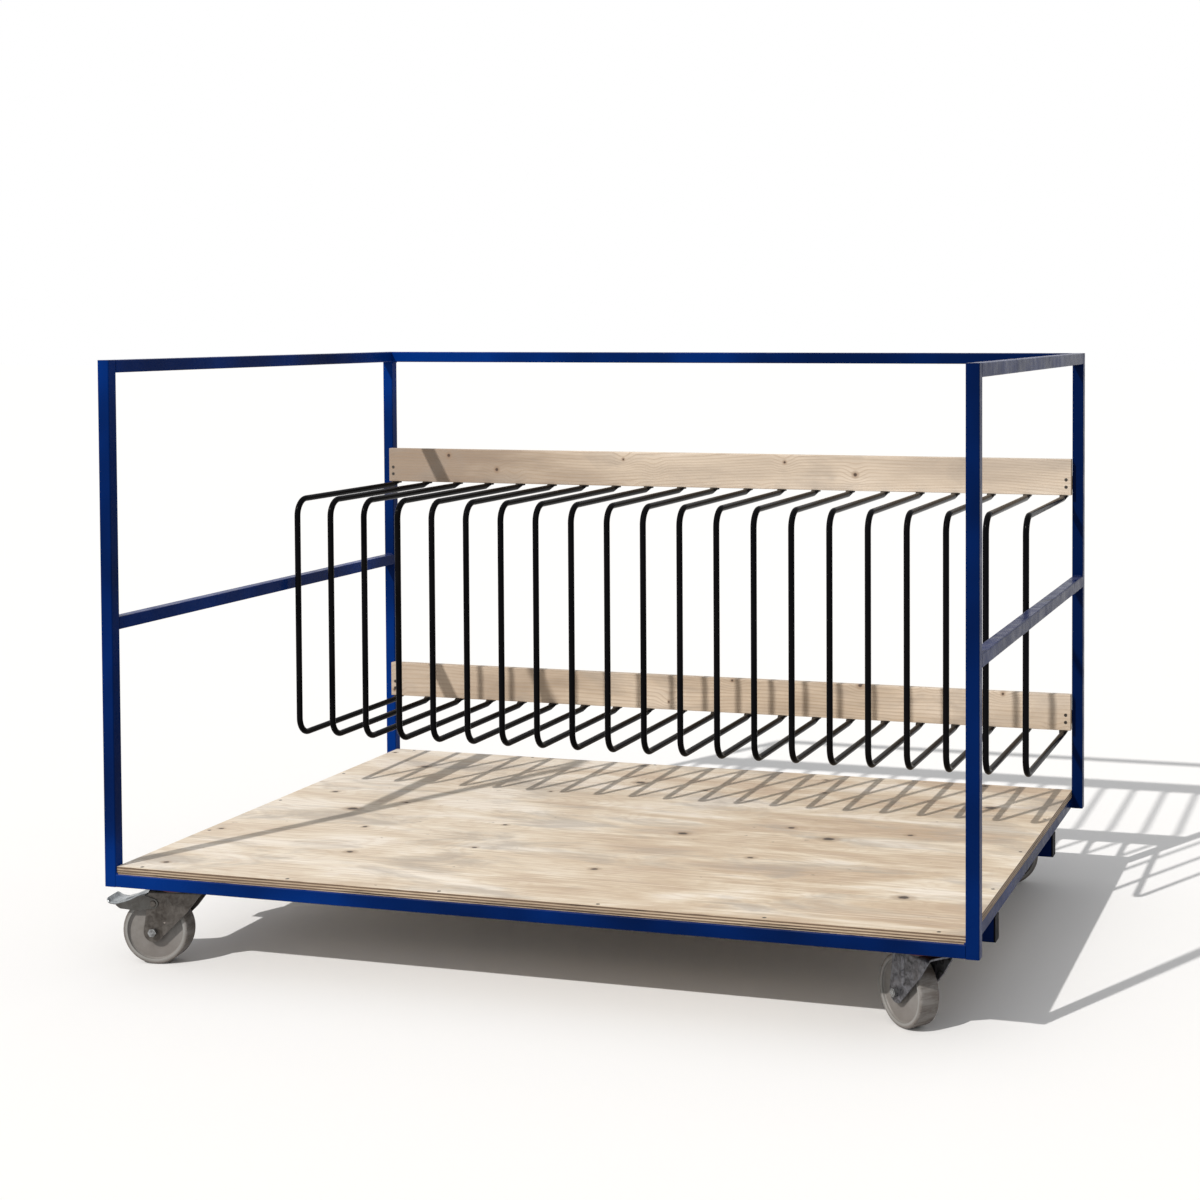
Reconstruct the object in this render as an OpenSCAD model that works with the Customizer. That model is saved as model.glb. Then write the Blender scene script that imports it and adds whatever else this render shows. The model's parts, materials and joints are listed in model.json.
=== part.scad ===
// Frame trolley. A welded square-tube frame stands on four swivel castors and carries a plywood
// deck. A rack of steel hoops at the back holds panels on edge.
// X runs to the right, Y to the back and Z up. The origin is the centre of the deck's top face.

/* [Frame] */
// Length over the posts
frame_l = 2100; // [1900:10:2400]
// Depth over the posts
frame_d = 1400; // [1200:10:1700]
// Height of the posts
frame_h = 1240; // [1100:10:1600]
// Side of the square tube
tube = 30; // [28:1:40]
// Wall of the square tube
tube_wall = 2; // [1.5:0.5:3]
// Outer corner radius of the square tube
tube_r = 3; // [2:0.5:5]
// Height of the side guard rails' centre line above the posts' feet
guard_rail_z = 620; // [400:10:900]

/* [Deck] */
// Thickness of the plywood deck
deck_t = 18; // [15:1:24]
// Set-back of the deck's front edge from the front of the frame
deck_front_gap = 5; // [0:1:12]
// Set-back of the deck's rear edge from the back of the frame
deck_rear_gap = 20; // [0:1:22]
// Deck screws along the front rail, and as many along the rear rail
deck_screws_long = 6; // [3:1:10]
// Deck screws along each side rail, between the corners
deck_screws_side = 3; // [1:1:6]

/* [Cross tubes] */
// Width of the two cross tubes under the deck frame
cross_w = 40; // [30:1:60]
// Height of the cross tubes
cross_h = 60; // [40:1:80]
// Wall of the cross tubes
cross_wall = 3; // [2:0.5:4]
// Corner radius of the cross tubes
cross_r = 5; // [4.5:0.5:8]
// Distance of the front cross tube's centre line in front of the middle
cross_front_y = 363; // [200:1:380]
// Distance of the rear cross tube's centre line behind the middle
cross_rear_y = 390; // [200:1:400]
// Thickness of the plastic end caps
cap_t = 4; // [2:0.5:8]

/* [Rack boards] */
// Height of the pine boards
board_h = 98; // [80:1:150]
// Thickness of the pine boards
board_t = 22; // [18:1:30]
// Height of the lower board's bottom edge above the posts' feet
lower_board_z = 216; // [160:1:300]
// Height of the upper board's bottom edge above the posts' feet
upper_board_z = 856; // [700:1:960]
// Height of each board rail's centre line above the bottom edge of its board
board_rail_up = 32; // [20:1:50]
// Radius of the boards' long edges
board_edge_r = 2; // [1:0.5:4]
// Distance between the two screws at each end of a board
board_screw_gap = 20; // [12:1:22]
// Distance of the board screws from the board's end
board_screw_in = 13; // [10:1:30]

/* [Hoops] */
// Number of hoops
hoop_count = 21; // [5:1:21]
// Distance of the outer hoops' centre line from the boards' ends
hoop_end_in = 20; // [14:1:60]
// Outside diameter of the hoops' round tube
hoop_d = 16; // [12:1:20]
// Wall of the hoops' round tube
hoop_wall = 1.5; // [1:0.5:2.5]
// Distance from the boards' front face to the hoops' upright
hoop_reach = 554; // [300:1:700]
// Bend radius of the hoops, to the middle of the tube
hoop_bend = 45; // [30:1:80]
// Width of a hoop's flattened end
tab_w = 22; // [21:0.5:26]
// Thickness of a hoop's flattened end
tab_t = 5; // [3:0.5:7]
// Length over which a hoop goes from round to flat
flatten_l = 20; // [12:1:40]

/* [Castors] */
// Overall height of a castor
castor_h = 195; // [190:1:215]
// Distance of the wheel's axle behind the swivel axis
trail = 52; // [45:1:55]
// Length of the top plate, across the trolley
plate_l = 140; // [130:1:160]
// Width of the top plate
plate_w = 110; // [105:1:130]
// Thickness of the top plate
plate_t = 4; // [3:0.5:6]
// Gap from the top plate to the side rail
plate_gap_x = 12; // [2:1:30]
// Gap from the top plate to the front or rear rail
plate_gap_y = 6; // [1:1:20]
// Bolt spacing along the top plate
bolt_l = 105; // [100:1:115]
// Bolt spacing across the top plate
bolt_w = 80; // [76:1:85]
// Diameter of the castor bolts
bolt_d = 10; // [8:1:10]
// Thickness of the corner plates
corner_t = 6; // [4:1:8]
// Trailing direction of the front left castor
yaw_front_left = 190; // [0:1:359]
// Trailing direction of the front right castor
yaw_front_right = 139; // [0:1:359]
// Trailing direction of the rear left castor
yaw_rear_left = 205; // [0:1:359]
// Trailing direction of the rear right castor
yaw_rear_right = 199; // [0:1:359]

/* [Swivel head] */
// Diameter of the king pin
king_d = 16; // [12:1:20]
// Diameter of the bearing balls
ball_d = 8; // [6:0.5:8]
// Radius of the ball circle
ball_circle = 33; // [30:1:34]
// Number of balls in a swivel head
ball_count = 18; // [8:1:20]
// Outer radius of the ball races
race_r = 41; // [39:0.5:43]
// Thickness of the dust seal's wall
seal_t = 4; // [2:0.5:5]

/* [Fork] */
// Sheet thickness of the fork
fork_t = 4; // [3:0.5:5]
// Width between the fork's legs
fork_in = 60; // [58:1:66]
// Depth of the swivel head, from the plate's top to the crown's top
crown_drop = 16; // [15:0.5:20]
// Reach of the crown ahead of the swivel axis
crown_lead = 66; // [50:1:72]
// Reach of the crown behind the swivel axis
crown_trail = 63; // [62:1:66]
// Radius of a leg's end round the axle
leg_end_r = 24; // [18:1:26]
// Outer bend radius between crown and legs
shoulder_r = 9; // [6:1:12]

/* [Wheel] */
// Diameter of the wheel
wheel_d = 160; // [150:1:164]
// Width of the tread
wheel_w = 50; // [44:1:52]
// Edge radius of the tread
tread_r = 9; // [4:1:12]
// Height of the rim in the side view
rim_h = 12; // [10.5:0.5:24]
// Radius of the hub
hub_r = 20; // [16:0.5:24]
// Gap between the hub and each leg
hub_gap = 0.5; // [0.3:0.1:1]
// Diameter of the axle bolt
axle_d = 12; // [10:1:12]
// Wall of the axle sleeve
sleeve_wall = 1.5; // [1:0.5:2]
// Diameter of the bearing rollers
roller_d = 4; // [3:0.5:4]
// Number of bearing rollers
roller_count = 11; // [6:1:12]

/* [Brake pedal] */
// Distance of the pedal's pivot behind the swivel axis
pivot_u = 51; // [50:1:53]
// Depth of the pedal's pivot below the plate's top
pivot_drop = 47; // [45:1:50]
// Sheet thickness of the pedal
pedal_t = 2.5; // [2:0.5:3]
// Angle from released to braked
pedal_angle = 12; // [6:1:12]
// Distance of the curled toe's centre behind the swivel axis
toe_u = 158; // [150:1:175]
// Depth of the curled toe's centre below the plate's top
toe_drop = 47; // [42:1:52]
// Outer radius of the curled toe
toe_r = 12; // [8:1:14]

/* [Hidden] */
$fn = 64;
// Clearances
run_fit = 0.05;
screw_fit = 0.1;
swivel_play = 0.3;
race_play = 0.15;
side_play = 0.4;
brake_play = 0.5;

// Frame
z_feet = -(tube + deck_t);
post_x = (frame_l - tube) / 2;
post_y = (frame_d - tube) / 2;
rail_l = frame_l - 2 * tube;
side_rail_l = frame_d - 2 * tube;
side_rail_x = rail_l / 2 - tube / 2;
deck_front_y = -frame_d / 2 + deck_front_gap;
deck_rear_y = frame_d / 2 - deck_rear_gap;

// Rack
board_back_y = frame_d / 2 - tube;
board_front_y = board_back_y - board_t;
hoop_pitch = (rail_l - 2 * hoop_end_in) / (hoop_count - 1);
upright_y = board_front_y - hoop_reach;

// Screws
deck_screw_d = 5;
deck_screw_head = 9.5;
deck_screw_l = 32;
deck_screw_in = 60;
board_screw_l = 34;
hoop_screw_d = 4.5;
hoop_screw_head = 9;
hoop_screw_head_h = 3;
hoop_screw_l = 30;
screw_sink = 0.2;

// Castors
castor_x = rail_l / 2 - tube - plate_gap_x - plate_l / 2;
castor_y = frame_d / 2 - tube - plate_gap_y - plate_w / 2;
plate_corner_r = 8;
corner_margin = 14;
nut_h = 0.8 * bolt_d;
head_h = 0.64 * bolt_d;
hex_r = 0.92 * bolt_d;
wheel_r = wheel_d / 2;
axle_drop = castor_h - wheel_r;
fork_out = fork_in + 2 * fork_t;
crown_under = crown_drop + fork_t;
ball_drop = (plate_t + crown_drop) / 2;
race_half_gap = 0.5;
race_in = ball_circle - ball_d / 2 - 2;
groove_r = ball_d / 2 + race_play;
king_head_r = king_d / 2 + 6;
king_head_h = 3;
sleeve_r = axle_d / 2 + sleeve_wall;
roller_circle = sleeve_r + run_fit + roller_d / 2;
hub_bore_r = sleeve_r + roller_d + 3 * run_fit;
hub_half = fork_in / 2 - hub_gap;
rim_in_r = wheel_r - rim_h;
channel_u = 25;
channel_r = 15;
channel_deep = 2;
channel_top = 34;
channel_end = 86;
pedal_in = fork_out / 2 + side_play;
pedal_out = pedal_in + pedal_t;
pivot_r = 5;
pivot_head_r = 8;
pivot_head_t = 2;
ear_r = 12;
web_drop = 24;
web_u = crown_trail + 7;
shoe_u = [80, 95];
shoe_w = 34;
web_knee_back = 66;
web_bend_back = 40;
web_bend_up = 13;
flange_back = 78;
flange_low = 22;
disc_half_rim = 18;
disc_half_hub = 20;
disc_flare = 4;

// Each corner: name, side in X, side in Y, trailing direction
CORNERS = [
    ["front_left", -1, -1, yaw_front_left],
    ["front_right", 1, -1, yaw_front_right],
    ["rear_left", -1, 1, yaw_rear_left],
    ["rear_right", 1, 1, yaw_rear_right]
];
BRAKED = [CORNERS[0], CORNERS[2]];
HOOPS = [for (i = [1:hoop_count]) str("hoop_", i)];

// Rectangle with rounded corners, centred
module round_rect(w, h, r) {
    square([w, h - 2 * r], center = true);
    square([w - 2 * r, h], center = true);
    for (x = [-1, 1], y = [-1, 1])
        translate([x * (w / 2 - r), y * (h / 2 - r)]) circle(r = r, $fn = 32);
}

// Rectangular tube that rises from the origin along Z
module hollow_bar(l, w = tube, h = tube, wall = tube_wall, r = tube_r) {
    linear_extrude(l) difference() {
        round_rect(w, h, r);
        round_rect(w - 2 * wall, h - 2 * wall, max(r - wall, 0.5));
    }
}

// Children built along Z are laid along X, or along Y, centred on the origin
module along_x(l) rotate([90, 0, 90]) translate([0, 0, -l / 2]) children();
module along_y(l) rotate([-90, 0, 0]) translate([0, 0, -l / 2]) children();

// Points from a to b in n even steps
function spread(a, b, n) = [for (i = [0:n - 1]) a + (b - a) * i / (n - 1)];

deck_screw_rows = [-frame_d / 2 + tube / 2 + 3, frame_d / 2 - tube / 2 - 12];
deck_screw_xs = spread(-rail_l / 2 + deck_screw_in, rail_l / 2 - deck_screw_in, deck_screws_long);
deck_screw_ys = [for (i = [1:deck_screws_side])
    -side_rail_l / 2 + side_rail_l * i / (deck_screws_side + 1)];

// Children are placed at every deck screw
module at_deck_screws() {
    for (x = deck_screw_xs, y = deck_screw_rows) translate([x, y, 0]) children();
    for (x = [-side_rail_x, side_rail_x], y = deck_screw_ys) translate([x, y, 0]) children();
}

// Children are placed at every board screw, looking along Y
module at_board_screws() {
    for (x = [-1, 1], z = [lower_board_z, upper_board_z], k = [-0.5, 0.5])
        translate([x * (rail_l / 2 - board_screw_in), board_front_y,
                   z_feet + z + board_rail_up + k * board_screw_gap])
            rotate([90, 0, 0]) children();
}

// Children are placed at every hoop end, under the boards' bottom edges
module at_hoop_ends(board_z) {
    for (i = [1:hoop_count])
        translate([hoop_x(i), board_front_y + board_t / 2, z_feet + board_z]) children();
}

function hoop_x(i) = (i - (hoop_count + 1) / 2) * hoop_pitch;

// Drill through a wall for a self-tapping screw that points down
module screw_drill(d, l) translate([0, 0, -l]) cylinder(d = d + 2 * screw_fit, h = l);

module post(c) {
    color("midnightblue") translate([c[1] * post_x, c[2] * post_y, z_feet]) {
        hollow_bar(frame_h);
        translate([0, 0, frame_h - tube_wall])
            linear_extrude(tube_wall) round_rect(tube, tube, tube_r);
    }
}

module top_rail_side(side) {
    color("midnightblue") translate([side * post_x, 0, z_feet + frame_h - tube / 2])
        along_y(side_rail_l) hollow_bar(side_rail_l);
}

module top_rail_rear() {
    color("midnightblue") translate([0, post_y, z_feet + frame_h - tube / 2])
        along_x(rail_l) hollow_bar(rail_l);
}

module guard_rails() {
    color("midnightblue") for (side = [-1, 1])
        translate([side * post_x, 0, z_feet + guard_rail_z])
            along_y(side_rail_l) hollow_bar(side_rail_l);
}

module base_rail_long(side) {
    color("midnightblue") difference() {
        translate([0, side * post_y, z_feet + tube / 2]) along_x(rail_l) hollow_bar(rail_l);
        at_deck_screws() screw_drill(deck_screw_d, deck_screw_l + 1);
    }
}

module base_rail_side(side) {
    color("midnightblue") difference() {
        translate([side * side_rail_x, 0, z_feet + tube / 2])
            along_y(side_rail_l) hollow_bar(side_rail_l);
        at_deck_screws() screw_drill(deck_screw_d, deck_screw_l + 1);
    }
}

module cross_tubes() {
    l = rail_l - 2 * cap_t;
    color("midnightblue") for (y = [-cross_front_y, cross_rear_y])
        translate([0, y, z_feet - cross_h / 2])
            along_x(l) hollow_bar(l, cross_w, cross_h, cross_wall, cross_r);
}

// Plastic cap with a plug that fits the tube's bore
module cross_tube_caps() {
    plug_l = 18;
    plug_w = cross_w - 2 * cross_wall - 2 * screw_fit;
    plug_h = cross_h - 2 * cross_wall - 2 * screw_fit;
    color("black") for (y = [-cross_front_y, cross_rear_y], side = [0, 180])
        translate([0, y, z_feet - cross_h / 2]) rotate([0, 0, side])
            translate([rail_l / 2 - cap_t, 0, 0]) rotate([90, 0, 90]) {
                linear_extrude(cap_t) round_rect(cross_w, cross_h, cross_r);
                translate([0, 0, -plug_l]) linear_extrude(plug_l) difference() {
                    round_rect(plug_w, plug_h, max(cross_r - cross_wall, 1));
                    round_rect(plug_w - 5, plug_h - 5, 1);
                }
            }
}

// Bolt places of one castor, about its swivel axis
module at_bolts() {
    for (x = [-1, 1], y = [-1, 1]) translate([x * bolt_l / 2, y * bolt_w / 2, 0]) children();
}

// Children are placed at a corner's swivel axis, at the top of the castor plate
module at_castor(c) translate([c[1] * castor_x, c[2] * castor_y, z_feet]) children();
module at_fork(c) at_castor(c) rotate([0, 0, c[3]]) children();

module corner_plates() {
    l = plate_l + plate_gap_x + corner_margin;
    w = plate_w + plate_gap_y + corner_margin;
    color("midnightblue") for (c = CORNERS) difference() {
        translate([c[1] * (rail_l / 2 - tube - l / 2), c[2] * (frame_d / 2 - tube - w / 2), z_feet])
            linear_extrude(corner_t) square([l, w], center = true);
        at_castor(c) at_bolts() translate([0, 0, -1]) cylinder(d = bolt_d + 1, h = corner_t + 2);
    }
}

module board_rails() {
    color("midnightblue") for (z = [lower_board_z, upper_board_z]) difference() {
        translate([0, post_y, z_feet + z + board_rail_up]) along_x(rail_l) hollow_bar(rail_l);
        at_board_screws() screw_drill(deck_screw_d, board_screw_l + 1);
    }
}

// Clearance hole with a countersink, cut down from the surface
module countersink(d, head, l) {
    screw_drill(d, l);
    translate([0, 0, -screw_sink - (head - d) / 2])
        cylinder(d1 = d + 2 * screw_fit, d2 = head + 2 * screw_fit, h = (head - d) / 2);
    translate([0, 0, -screw_sink]) cylinder(d = head + 2 * screw_fit, h = screw_sink + 1);
}

module deck_panel() {
    color("burlywood") difference() {
        translate([-rail_l / 2, deck_front_y, -deck_t])
            cube([rail_l, deck_rear_y - deck_front_y, deck_t]);
        at_deck_screws() countersink(deck_screw_d, deck_screw_head, deck_t + 1);
    }
}

module board(z) {
    color("wheat") difference() {
        translate([0, board_front_y + board_t / 2, z_feet + z + board_h / 2])
            along_x(rail_l) linear_extrude(rail_l) round_rect(board_t, board_h, board_edge_r);
        at_board_screws() countersink(deck_screw_d, deck_screw_head, board_t + 1);
        at_hoop_ends(z) cylinder(d = hoop_screw_d + 2 * screw_fit, h = hoop_screw_l - tab_t + 1);
    }
}

// One quarter bend in the hoop's plane, about the origin, from the arm to the upright
module quarter_bend(d) {
    rotate([90, 0, -90]) rotate_extrude(angle = 90) translate([hoop_bend, 0]) circle(d = d);
}

// Centre line of a hoop as a round bar: two arms, two bends and the upright
module hoop_bar(d) {
    arm_l = hoop_reach - hoop_bend - flatten_l;
    z_low = z_feet + lower_board_z - hoop_d / 2;
    z_high = z_feet + upper_board_z - hoop_d / 2;
    for (z = [z_low, z_high])
        translate([0, upright_y + hoop_bend, z]) rotate([-90, 0, 0]) cylinder(d = d, h = arm_l);
    translate([0, upright_y, z_low + hoop_bend])
        cylinder(d = d, h = z_high - z_low - 2 * hoop_bend);
    translate([0, upright_y + hoop_bend, z_high - hoop_bend]) quarter_bend(d);
    translate([0, upright_y + hoop_bend, z_low + hoop_bend]) mirror([0, 0, 1]) quarter_bend(d);
}

// Flattened end of a hoop, screwed up against the bottom edge of a board
module hoop_tab() {
    corner_r = 5;
    difference() {
        union() {
            hull() {
                translate([0, -flatten_l, -hoop_d / 2]) rotate([-90, 0, 0])
                    cylinder(d = hoop_d, h = 0.1, $fn = 32);
                translate([-tab_w / 2, -0.1, -tab_t]) cube([tab_w, 0.1, tab_t]);
            }
            translate([0, 0, -tab_t]) linear_extrude(tab_t) {
                translate([-tab_w / 2, 0]) square([tab_w, board_t - corner_r]);
                translate([-tab_w / 2 + corner_r, 0]) square([tab_w - 2 * corner_r, board_t]);
                for (x = [-1, 1])
                    translate([x * (tab_w / 2 - corner_r), board_t - corner_r])
                        circle(r = corner_r, $fn = 32);
            }
        }
        translate([0, board_t / 2, -tab_t - 1]) cylinder(d = hoop_screw_d + 0.5, h = tab_t + 2);
    }
}

module hoop(i) {
    color("black") translate([hoop_x(i), 0, 0]) {
        difference() {
            hoop_bar(hoop_d);
            hoop_bar(hoop_d - 2 * hoop_wall);
        }
        for (z = [lower_board_z, upper_board_z])
            translate([0, board_front_y, z_feet + z]) hoop_tab();
    }
}

// Top plate with its pressed ball race and riveted king pin
module castor_plates() {
    color("silver") for (c = CORNERS) at_castor(c) difference() {
        union() {
            translate([0, 0, -plate_t]) linear_extrude(plate_t)
                round_rect(plate_l, plate_w, plate_corner_r);
            translate([0, 0, -ball_drop + race_half_gap]) difference() {
                cylinder(r = race_r, h = ball_drop - race_half_gap - plate_t / 2);
                translate([0, 0, -1])
                    cylinder(r = race_in, h = ball_drop - race_half_gap - plate_t + 1);
            }
            translate([0, 0, -crown_under - swivel_play]) cylinder(d = king_d, h = crown_under);
            translate([0, 0, -crown_under - swivel_play - king_head_h])
                cylinder(r1 = king_head_r - 2, r2 = king_head_r, h = king_head_h);
        }
        translate([0, 0, -ball_drop]) rotate_extrude() translate([ball_circle, 0]) circle(r = groove_r);
        at_bolts() translate([0, 0, -plate_t - 1]) cylinder(d = bolt_d + 1, h = plate_t + 2);
    }
}

module dust_seals() {
    seal_h = crown_drop - plate_t - 2 * swivel_play;
    color("firebrick") for (c = CORNERS) at_castor(c)
        translate([0, 0, -crown_drop + swivel_play]) difference() {
            cylinder(r = race_r + swivel_play + seal_t, h = seal_h);
            translate([0, 0, -1]) cylinder(r = race_r + swivel_play, h = seal_h + 2);
        }
}

module swivel_balls() {
    color("silver") for (c = CORNERS) at_castor(c)
        for (i = [0:ball_count - 1]) rotate([0, 0, i * 360 / ball_count])
            translate([ball_circle, 0, -ball_drop]) sphere(d = ball_d, $fn = 24);
}

// Point where the line from p touches the circle at c with radius r, on the given side
function tangent_point(p, c, r, side) =
    let (d = norm(c - p), base = atan2(c[1] - p[1], c[0] - p[0]), a = asin(r / d))
    p + sqrt(d * d - r * r) * [cos(base + side * a), sin(base + side * a)];

// Side outline of the fork: a long crown whose legs taper to the axle
module fork_outline() {
    axle = [trail, -axle_drop];
    shoulder = 6;
    lead_top = [-crown_lead, -crown_drop - shoulder];
    lead_mid = [-0.45 * crown_lead, -crown_drop - 52];
    trail_top = [crown_trail, -crown_drop - shoulder];
    polygon([
        [-crown_lead, -crown_drop],
        lead_top,
        lead_mid,
        tangent_point(lead_mid, axle, leg_end_r, -1),
        axle,
        tangent_point(trail_top, axle, leg_end_r, 1),
        trail_top,
        [crown_trail, -crown_drop]
    ]);
    translate(axle) circle(r = leg_end_r);
}

// Arch of width w and height h that stands on the X axis, with rounded top corners
module arch(w, h, r) {
    translate([-w / 2, 0]) square([w, h - r]);
    translate([-w / 2 + r, 0]) square([w - 2 * r, h]);
    for (x = [-1, 1]) translate([x * (w / 2 - r), h - r]) circle(r = r, $fn = 48);
}

// Children drawn in the fork's side view are extruded to the width w, centred
module side_extrude(w) rotate([90, 0, 0]) linear_extrude(w, center = true) children();

// Hole or pin across the fork
module cross_cylinder(u, drop, r, w) {
    translate([u, 0, -drop]) rotate([90, 0, 0]) cylinder(r = r, h = w, center = true);
}

// Pressed channel down the outside of a leg
module leg_channel(side) {
    v = side * (fork_out / 2 + channel_r - channel_deep);
    translate([channel_u, v, -channel_end]) {
        cylinder(r = channel_r, h = channel_end - channel_top);
        sphere(r = channel_r);
        translate([0, 0, channel_end - channel_top]) sphere(r = channel_r);
    }
}

// Pressed fork: the crown bends down into two legs, and carries the lower ball race
module fork(c, braked) {
    depth = axle_drop + leg_end_r + 1;
    leg_h = depth - crown_drop;
    color("silver") at_fork(c) {
        difference() {
            union() {
                intersection() {
                    side_extrude(fork_out + 2) fork_outline();
                    translate([-crown_lead - 1, 0, -depth]) rotate([90, 0, 90])
                        linear_extrude(crown_lead + trail + leg_end_r + 60)
                            arch(fork_out, leg_h, shoulder_r);
                }
                translate([0, 0, -crown_drop - fork_t / 2])
                    cylinder(r = race_r, h = crown_drop - ball_drop - race_half_gap + fork_t / 2);
            }
            translate([-crown_lead - 2, 0, -depth - 1]) rotate([90, 0, 90])
                linear_extrude(crown_lead + trail + leg_end_r + 62)
                    arch(fork_in, leg_h - fork_t + 1, shoulder_r - fork_t);
            translate([0, 0, -crown_drop]) cylinder(r = race_in, h = crown_drop);
            translate([0, 0, -crown_under - 1]) cylinder(d = king_d + 2 * run_fit, h = crown_under + 1);
            translate([0, 0, -ball_drop]) rotate_extrude()
                translate([ball_circle, 0]) circle(r = groove_r);
            cross_cylinder(trail, axle_drop, axle_d / 2 + screw_fit, fork_out + 2);
            for (side = [-1, 1]) leg_channel(side);
        }
        if (braked) for (side = [-1, 1]) pivot_rivet(side);
    }
}

// Shoulder rivet on the outside of a leg, on which the pedal turns
module pivot_rivet(side) {
    shank = side_play + pedal_t + side_play;
    translate([pivot_u, side * (fork_out / 2 - 1), -pivot_drop]) rotate([-90 * side, 0, 0]) {
        cylinder(r = pivot_r - run_fit, h = shank + 1.5);
        translate([0, 0, shank + 1])
            cylinder(r1 = pivot_head_r, r2 = pivot_head_r - 1.5, h = pivot_head_t);
    }
}

// Half section of the nylon wheel, radius along X and width along Y
module wheel_section() {
    flat = wheel_w / 2 - tread_r;
    translate([rim_in_r, -wheel_w / 2]) square([rim_h - tread_r, wheel_w]);
    translate([rim_in_r, -flat]) square([rim_h, 2 * flat]);
    for (y = [-1, 1]) translate([wheel_r - tread_r, y * flat]) circle(r = tread_r);
    polygon([
        [hub_bore_r, -hub_half],
        [hub_r, -hub_half],
        [hub_r + disc_flare, -disc_half_hub],
        [rim_in_r + 1, -disc_half_rim],
        [rim_in_r + 1, disc_half_rim],
        [hub_r + disc_flare, disc_half_hub],
        [hub_r, hub_half],
        [hub_bore_r, hub_half]
    ]);
}

module wheel(c) {
    color("gainsboro") at_fork(c) translate([trail, 0, -axle_drop])
        rotate([90, 0, 0]) rotate_extrude($fn = 96) wheel_section();
}

// Axle bolt with its nut, sleeve and roller bearing
module axle(c) {
    axle_hex_r = 0.87 * axle_d;
    axle_head_h = 0.63 * axle_d;
    axle_nut_h = 0.83 * axle_d;
    axle_end = 0.9 * axle_d;
    end_ring_t = 3;
    color("silver") at_fork(c) translate([trail, 0, -axle_drop]) rotate([90, 0, 0]) {
        translate([0, 0, -fork_out / 2 - axle_end])
            cylinder(d = axle_d, h = fork_out + axle_end);
        translate([0, 0, fork_out / 2]) cylinder(r = axle_hex_r, h = axle_head_h, $fn = 6);
        translate([0, 0, -fork_out / 2 - axle_nut_h]) difference() {
            cylinder(r = axle_hex_r, h = axle_nut_h, $fn = 6);
            translate([0, 0, -1]) cylinder(d = axle_d + 2 * screw_fit, h = axle_d + 2);
        }
        difference() {
            cylinder(r = sleeve_r, h = fork_in - 2 * run_fit, center = true);
            cylinder(r = axle_d / 2 + screw_fit, h = fork_in + 2, center = true);
        }
        for (side = [-1, 1]) translate([0, 0, side * (hub_half - end_ring_t)]) difference() {
            cylinder(r = hub_bore_r - run_fit, h = end_ring_t, center = true);
            cylinder(r = sleeve_r + run_fit, h = end_ring_t + 2, center = true);
        }
        roller_l = 2 * (hub_half - 2 * end_ring_t);
        for (i = [0:roller_count - 1]) rotate([0, 0, i * 360 / roller_count])
            translate([roller_circle, 0, 0]) cylinder(d = roller_d, h = roller_l, center = true, $fn = 24);
    }
}

// Unit vector along v
function unit(v) = v / norm(v);

// Points beside a line of points, at the distance d to its left
function beside(points, d) = [for (i = [0:len(points) - 1])
    let (last = len(points) - 1,
         before = unit(points[max(i, 1)] - points[max(i, 1) - 1]),
         after = unit(points[min(i, last - 1) + 1] - points[min(i, last - 1)]),
         along = unit(before + after))
    points[i] + d / (along * before) * [-along[1], along[0]]];

// Sheet of the given thickness, bent along the points
module bent_sheet(points, t) {
    back = beside(points, -t / 2);
    polygon(concat(beside(points, t / 2), [for (i = [len(back) - 1:-1:0]) back[i]]));
}

pedal_pivot = [pivot_u, -pivot_drop];
toe = [toe_u, -toe_drop];
curl_r = toe_r - pedal_t / 2;
web_bend = [toe_u - web_bend_back, -toe_drop + web_bend_up];
curl_start = tangent_point(web_bend, toe, curl_r, -1);
curl_from = atan2(curl_start[1] - toe[1], curl_start[0] - toe[0]);
curl_turn = 210;
curl_step = 15;
web_line = [[web_u, -web_drop - 1], [toe_u - web_knee_back, -web_drop - 2], web_bend];
curl_line = [for (a = [0:curl_step:curl_turn])
    toe + curl_r * [cos(curl_from + a), sin(curl_from + a)]];

// Flange of the pedal, with a round ear at the pivot
module pedal_flange() {
    front = web_bend + 0.85 * (curl_start - web_bend);
    translate(pedal_pivot) circle(r = ear_r);
    polygon([
        pedal_pivot + 0.8 * ear_r * [cos(100), sin(100)],
        web_line[0] + [3, 0],
        web_line[1],
        web_bend,
        front,
        front + [-5, -9],
        [toe_u - flange_back, -toe_drop - flange_low],
        pedal_pivot + 0.8 * ear_r * [cos(280), sin(280)]
    ]);
}

// Shoe under the web, hollowed to the tread that it meets when the pedal is down
module brake_shoe() {
    difference() {
        translate([shoe_u[0], -shoe_w / 2, -pivot_drop - 10])
            cube([shoe_u[1] - shoe_u[0], shoe_w, pivot_drop + 10 - web_drop - 2]);
        translate([pivot_u, 0, -pivot_drop]) rotate([0, -pedal_angle, 0])
            translate([trail - pivot_u, 0, pivot_drop - axle_drop]) rotate([90, 0, 0])
                cylinder(r = wheel_r + brake_play, h = 2 * wheel_w, center = true, $fn = 96);
    }
}

// Brake pedal: a pressed channel that turns outside the legs, with a curled toe and a brake shoe
module pedal(c) {
    color("lightsteelblue") at_fork(c) difference() {
        union() {
            side_extrude(2 * pedal_in + pedal_t) bent_sheet(concat(web_line, curl_line), pedal_t);
            for (side = [-1, 1]) translate([0, side * (pedal_in + pedal_t / 2), 0])
                side_extrude(pedal_t) pedal_flange();
            brake_shoe();
        }
        cross_cylinder(pivot_u, pivot_drop, pivot_r, 2 * pedal_out + 2);
    }
}

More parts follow.
